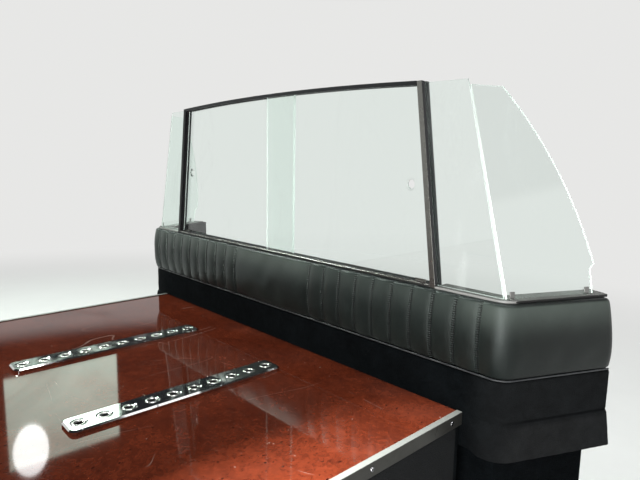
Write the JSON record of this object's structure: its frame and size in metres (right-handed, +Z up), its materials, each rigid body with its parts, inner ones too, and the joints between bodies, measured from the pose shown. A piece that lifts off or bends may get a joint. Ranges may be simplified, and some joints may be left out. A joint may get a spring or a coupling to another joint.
{
  "type": "hearse casket deck with glazed cab partition",
  "caption": "Casket deck with pin plates, casket rollers and a loading roller, ending at an upholstered partition with sliding and fixed glass.",
  "frame": {"origin": "on the floor, under the middle of the whole bay", "axes": "+X to the vehicle's right, +Y forward to the cab, +Z up"},
  "size_m": [1.533, 2.6097, 0.96],
  "materials": {
    "burl": "glossy lacquered burl laminate",
    "carpet": "short-pile black carpet",
    "plywood": "plain sanded plywood",
    "aluminium": "satin anodised",
    "black_aluminium": "black anodised, satin",
    "chrome": "polished",
    "steel": "zinc plated",
    "rubber": "smooth rubber sleeve",
    "leather": "grained upholstery, semi-matt",
    "piping": "covered welt",
    "ledge": "grained matt grey",
    "glass": "clear, polished edges"
  },
  "bodies": {
    "bay": {"deck_board": "burl", "deck_wall_left": "carpet", "deck_wall_right": "carpet", "deck_head_wall": "carpet", "deck_tail_wall": "carpet", "deck_bearers": "plywood", "edge_trim_left": "aluminium", "edge_trim_right": "aluminium", "tail_trim": "aluminium", "floor_brackets": "steel", "pin_plate_front_left": "chrome", "pin_plate_front_right": "chrome", "pin_plate_rear_left": "chrome", "pin_plate_rear_right": "chrome", "roller_trays": "steel", "tail_bracket_left": "steel", "tail_bracket_right": "steel", "pad": "leather", "piping": "piping", "riser": "carpet", "partition_board": "carpet", "kick_wall": "carpet", "sill_track": "chrome", "head_track": "black_aluminium", "post_left": "chrome", "post_right": "chrome", "sliding_pane_left": "glass", "sliding_pane_right": "glass", "quarter_pane_left": "glass", "quarter_pane_right": "glass", "side_pane_left": "glass", "side_pane_right": "glass", "sill_cap_left": "ledge", "sill_cap_right": "ledge", "glass_clips_left": "chrome", "glass_clips_right": "chrome"},
    "roller_1_right": {"roller_1_right": "rubber"},
    "roller_1_left": {"roller_1_left": "rubber"},
    "roller_2_right": {"roller_2_right": "rubber"},
    "roller_2_left": {"roller_2_left": "rubber"},
    "roller_3_right": {"roller_3_right": "rubber"},
    "roller_3_left": {"roller_3_left": "rubber"},
    "tail_roller": {"tail_roller": "steel"}
  },
  "joints": [
    {"name": "roller_1_right_spin", "type": "hinge", "parent": "bay", "child": "roller_1_right", "pos_m": [0.3, 0.22909, 0.316], "axis": [1, 0, 0], "continuous": true},
    {"name": "roller_1_left_spin", "type": "hinge", "parent": "bay", "child": "roller_1_left", "pos_m": [-0.3, 0.22909, 0.316], "axis": [1, 0, 0], "continuous": true},
    {"name": "roller_2_right_spin", "type": "hinge", "parent": "bay", "child": "roller_2_right", "pos_m": [0.3, -0.14091, 0.316], "axis": [1, 0, 0], "continuous": true},
    {"name": "roller_2_left_spin", "type": "hinge", "parent": "bay", "child": "roller_2_left", "pos_m": [-0.3, -0.14091, 0.316], "axis": [1, 0, 0], "continuous": true},
    {"name": "roller_3_right_spin", "type": "hinge", "parent": "bay", "child": "roller_3_right", "pos_m": [0.3, -0.51091, 0.316], "axis": [1, 0, 0], "continuous": true},
    {"name": "roller_3_left_spin", "type": "hinge", "parent": "bay", "child": "roller_3_left", "pos_m": [-0.3, -0.51091, 0.316], "axis": [1, 0, 0], "continuous": true},
    {"name": "tail_roller_spin", "type": "hinge", "parent": "bay", "child": "tail_roller", "pos_m": [0, -1.27991, 0.309], "axis": [1, 0, 0], "continuous": true}
  ]
}
